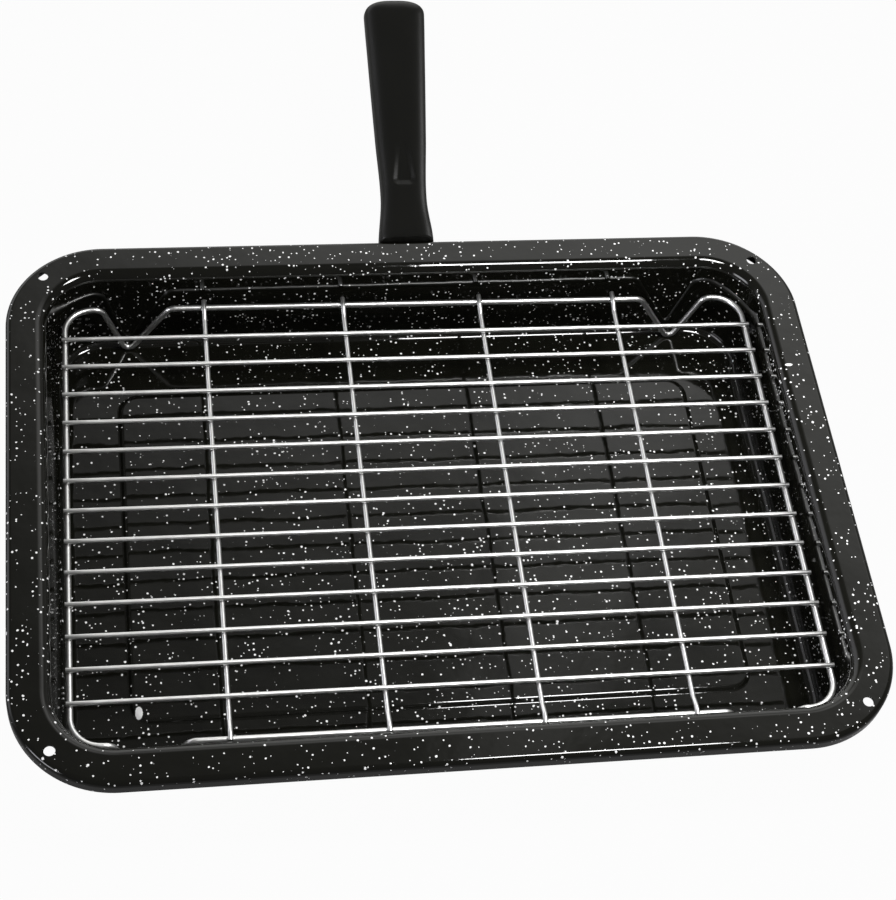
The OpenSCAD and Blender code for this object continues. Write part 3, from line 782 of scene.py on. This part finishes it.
def bracket_piece(material):
    """The part's own solid with flat faces joined, its edges softened."""
    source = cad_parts["handle_bracket"]
    bm = bmesh.new()
    bm.from_mesh(source.data)
    bmesh.ops.remove_doubles(bm, verts=bm.verts, dist=1e-6)
    bmesh.ops.dissolve_limit(bm, angle_limit=math.radians(1.0), verts=bm.verts, edges=bm.edges)
    bmesh.ops.recalc_face_normals(bm, faces=bm.faces)
    mesh = bpy.data.meshes.new("bracket")
    bm.to_mesh(mesh)
    bm.free()
    obj = shown("bracket", mesh, material)
    soften(obj, width=0.2, segments=2, angle=40)
    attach(obj, "root")
    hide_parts("handle_bracket")


# A bar of the cross in a screw's head: half its width and length, its depth, how much it narrows
# and how far outside the head it starts
BAR_W, BAR_REACH, BAR_DEPTH, BAR_SLANT, BAR_OVER = 0.55, 1.75, 1.25, 0.55, 0.5
BAR_TURNS, SCREW_SIDES = (25, 115), 48


def bar_corners(turn, top):
    """A tapered bar that starts outside the head and narrows into it."""
    c, s = cosd(turn), sind(turn)
    corners = []
    for sx in (-1, 1):
        for sy in (-1, 1):
            for z, t in ((top, 1.0), (top + BAR_OVER + BAR_DEPTH, BAR_SLANT)):
                px, py = sx * BAR_W * t, sy * BAR_REACH * t
                corners.append((px * c - py * s, px * s + py * c, z))
    return corners


def screw_piece(material):
    r, seat, head = HEAD_D / 2, -SCREW_SEAT, -SCREW_SEAT - HEAD_H
    profile = [(0, head), (r * 0.55, head + 0.02), (r * 0.82, head + 0.22), (r * 0.96, head + 0.62),
               (r, head + 1.05), (r, seat - 0.12), (r - 0.12, seat), (SCREW_D / 2, seat),
               (SCREW_D / 2, SCREW_TIP - 1.2), (0, SCREW_TIP)]
    v, f = lathe(profile, SCREW_SIDES)
    verts, faces = gathered((at_screw(k, v), f) for k in (0, 1))
    obj = new_piece("screws", verts, faces, material, ["handle_screws"])
    for k in (0, 1):
        for turn in BAR_TURNS:
            cut(obj, at_screw(k, bar_corners(turn, head - BAR_OVER)), BOX_FACES)
    soften(obj)


# Stage, light and camera

# Strength 1 is white: what the floor and backdrop show directly, and what the floor adds in mirrors
WHITE, MIRRORED_WHITE, FLOOR_GREY = 0.97, 0.12, 0.16
FLOOR_HALF, FLOOR_DROP = 6.0, 0.0004


def floor_piece():
    size, z = FLOOR_HALF, -FLOOR_DROP
    mesh = bpy.data.meshes.new("floor")
    corners = [(-size, -size, z), (size, -size, z), (size, size, z), (-size, size, z)]
    mesh.from_pydata(corners, [], [(0, 1, 2, 3)])
    obj = linked_object("floor", mesh)
    m = bpy.data.materials.new("pale_floor")
    t = Tree(m)
    ray = t.node("ShaderNodeLightPath").outputs
    mirrored = t.math("MAXIMUM", ray["Is Glossy Ray"], ray["Is Transmission Ray"])
    seen = t.math("MAXIMUM", t.math("MULTIPLY", ray["Is Camera Ray"], WHITE),
                  t.math("MULTIPLY", mirrored, MIRRORED_WHITE))
    lit = t.node("ShaderNodeBsdfDiffuse", {"Color": grey(FLOOR_GREY)}).outputs[0]
    plain = t.node("ShaderNodeEmission", {"Color": grey(1.0), "Strength": 1.0}).outputs[0]
    t.finish(t.node("ShaderNodeMixShader", {0: seen, 1: lit, 2: plain}).outputs[0])
    mesh.materials.append(m)


# The low backdrop, the card above it, the strip at the front left and the room between them
LOW_STRENGTH, CARD_STRENGTH, STRIP_STRENGTH, ROOM_STRENGTH = 1.2, 1.22, 7.0, 0.12
# Where each fades in and out: degrees round the tray, and height from 0 at the horizon to 1 above
CARD_ROUND, CARD_UP = (-16.0, 14.0, 42.0, 66.0), (0.45, 0.70, 0.70, 0.93)
STRIP_ROUND, STRIP_UP = (8.0, 16.0, 36.0, 44.0), (0.10, 0.20, 0.38, 0.50)
# The card's edges are lifted by this much over a part of its length
LIFT_ROUND, LIFT = (17.0, 23.0, 25.0, 30.0), 0.045
# Up to this ray depth the lamps give light, so that they aren't mirrored twice
LAMP_DEPTH = 2.5


def world_light():
    """A dim room with pale cards, told by direction; seen directly it is as white as the floor."""
    w = bpy.data.worlds.new("studio")
    bpy.context.scene.world = w
    w.use_nodes = True
    t = Tree(w)
    d = t.node("ShaderNodeTexCoord").outputs["Generated"]
    x, y, z = t.node("ShaderNodeSeparateXYZ", {0: d}).outputs

    def window(v, a, b, c, e):
        return t.math("MULTIPLY", t.span(v, a, b, 0.0, 1.0, smooth=True),
                      t.span(v, c, e, 1.0, 0.0, smooth=True))

    def turn(v):
        return t.math("MULTIPLY", v, 180.0 / math.pi)
    behind = turn(t.math("ARCTAN2", x, y))
    low = t.math("MULTIPLY", t.span(z, 0.42, 0.70, LOW_STRENGTH, 0.0, smooth=True),
                 t.span(y, 0.05, 0.40, 0.0, 1.0, smooth=True))
    low = t.math("MULTIPLY", low, t.span(x, 0.40, 0.70, 1.0, 0.12, smooth=True))
    lowered = t.math("SUBTRACT", z, t.math("MULTIPLY", window(behind, *LIFT_ROUND), LIFT))
    back = t.math("MULTIPLY", window(behind, *CARD_ROUND), window(lowered, *CARD_UP))
    aside = turn(t.math("ARCTAN2", t.math("MULTIPLY", y, -1.0), t.math("MULTIPLY", x, -1.0)))
    strip = t.math("MULTIPLY", window(aside, *STRIP_ROUND), window(z, *STRIP_UP))
    total = t.math("ADD", t.math("MAXIMUM", low, t.math("MULTIPLY", back, CARD_STRENGTH)),
                   t.math("MULTIPLY", strip, STRIP_STRENGTH))
    total = t.math("ADD", total, ROOM_STRENGTH)
    tint = t.mix(t.span(x, -0.9, -0.3, 1.0, 0.0), (1.0, 1.0, 0.985, 1), (0.94, 0.94, 1.0, 1))
    seen = t.node("ShaderNodeLightPath").outputs["Is Camera Ray"]
    bg = t.node("ShaderNodeBackground", {"Color": t.mix(seen, tint, grey(1.0)),
                                         "Strength": t.span(seen, 0.0, 1.0, total, WHITE)})
    t.node("ShaderNodeOutputWorld", {"Surface": bg.outputs[0]})


def softbox(name, size, power, place, aim, pieces, state):
    """A lamp that leaves the pieces out or lights them alone, and isn't mirrored twice."""
    data = bpy.data.lights.new(name, "AREA")
    data.shape, data.energy = "RECTANGLE", power
    data.size, data.size_y = size
    t = Tree(data)
    depth = t.node("ShaderNodeLightPath").outputs["Ray Depth"]
    early = t.math("LESS_THAN", depth, LAMP_DEPTH)
    glow = t.node("ShaderNodeEmission", {"Strength": early}).outputs[0]
    t.node("ShaderNodeOutputLight", {"Surface": glow})
    obj = linked_object(name, data)
    obj.location = place
    obj.rotation_euler = (Vector(place) - Vector(aim)).to_track_quat("Z", "Y").to_euler()
    obj.visible_camera = False
    linked = bpy.data.collections.new(name + "_pieces")
    for piece in pieces:
        linked.objects.link(piece)
    for entry in linked.collection_objects:
        entry.light_linking.link_state = state
    obj.light_linking.receiver_collection = linked


# The camera fitted to the photograph: place in millimetres, and axes
CAMERA_AT = Vector((-140.79, -490.50, 796.07))
CAMERA_RIGHT = Vector((0.98620606, -0.12155889, 0.11234346))
CAMERA_UP = Vector((0.03711631, 0.82384484, 0.56559885))
CAMERA_AHEAD = Vector((0.16130715, 0.55362724, -0.81699258))


def camera():
    data = bpy.data.cameras.new("camera")
    data.lens, data.sensor_width, data.sensor_fit = 80.96, 36.0, "HORIZONTAL"
    data.clip_start, data.clip_end = 0.01, 50.0
    obj = linked_object("camera", data)
    turned = Matrix((CAMERA_RIGHT, CAMERA_UP, -CAMERA_AHEAD)).transposed().to_4x4()
    obj.matrix_world = Matrix.Translation(CAMERA_AT * MM) @ turned
    bpy.context.scene.camera = obj


camera()
floor_piece()
world_light()
bpy.context.scene.view_settings.view_transform = "Standard"

chrome, welds = chrome_material(), weld_material()
steel = steel_material()
tray_piece(enamel_material())
rack_pieces(chrome, welds)
grip = grip_piece(grip_material())
softbox("key", (0.20, 0.16), 4.9, (0.205, -0.03, 0.70), (0.205, -0.03, 0.0), [grip], "EXCLUDE")
softbox("side", (0.30, 0.30), 1.1, (0.56, 0.12, 0.275), (0.0, 0.17, 0.065), [grip], "INCLUDE")
bracket_piece(steel)
screw_piece(steel)

bpy.context.view_layer.update()
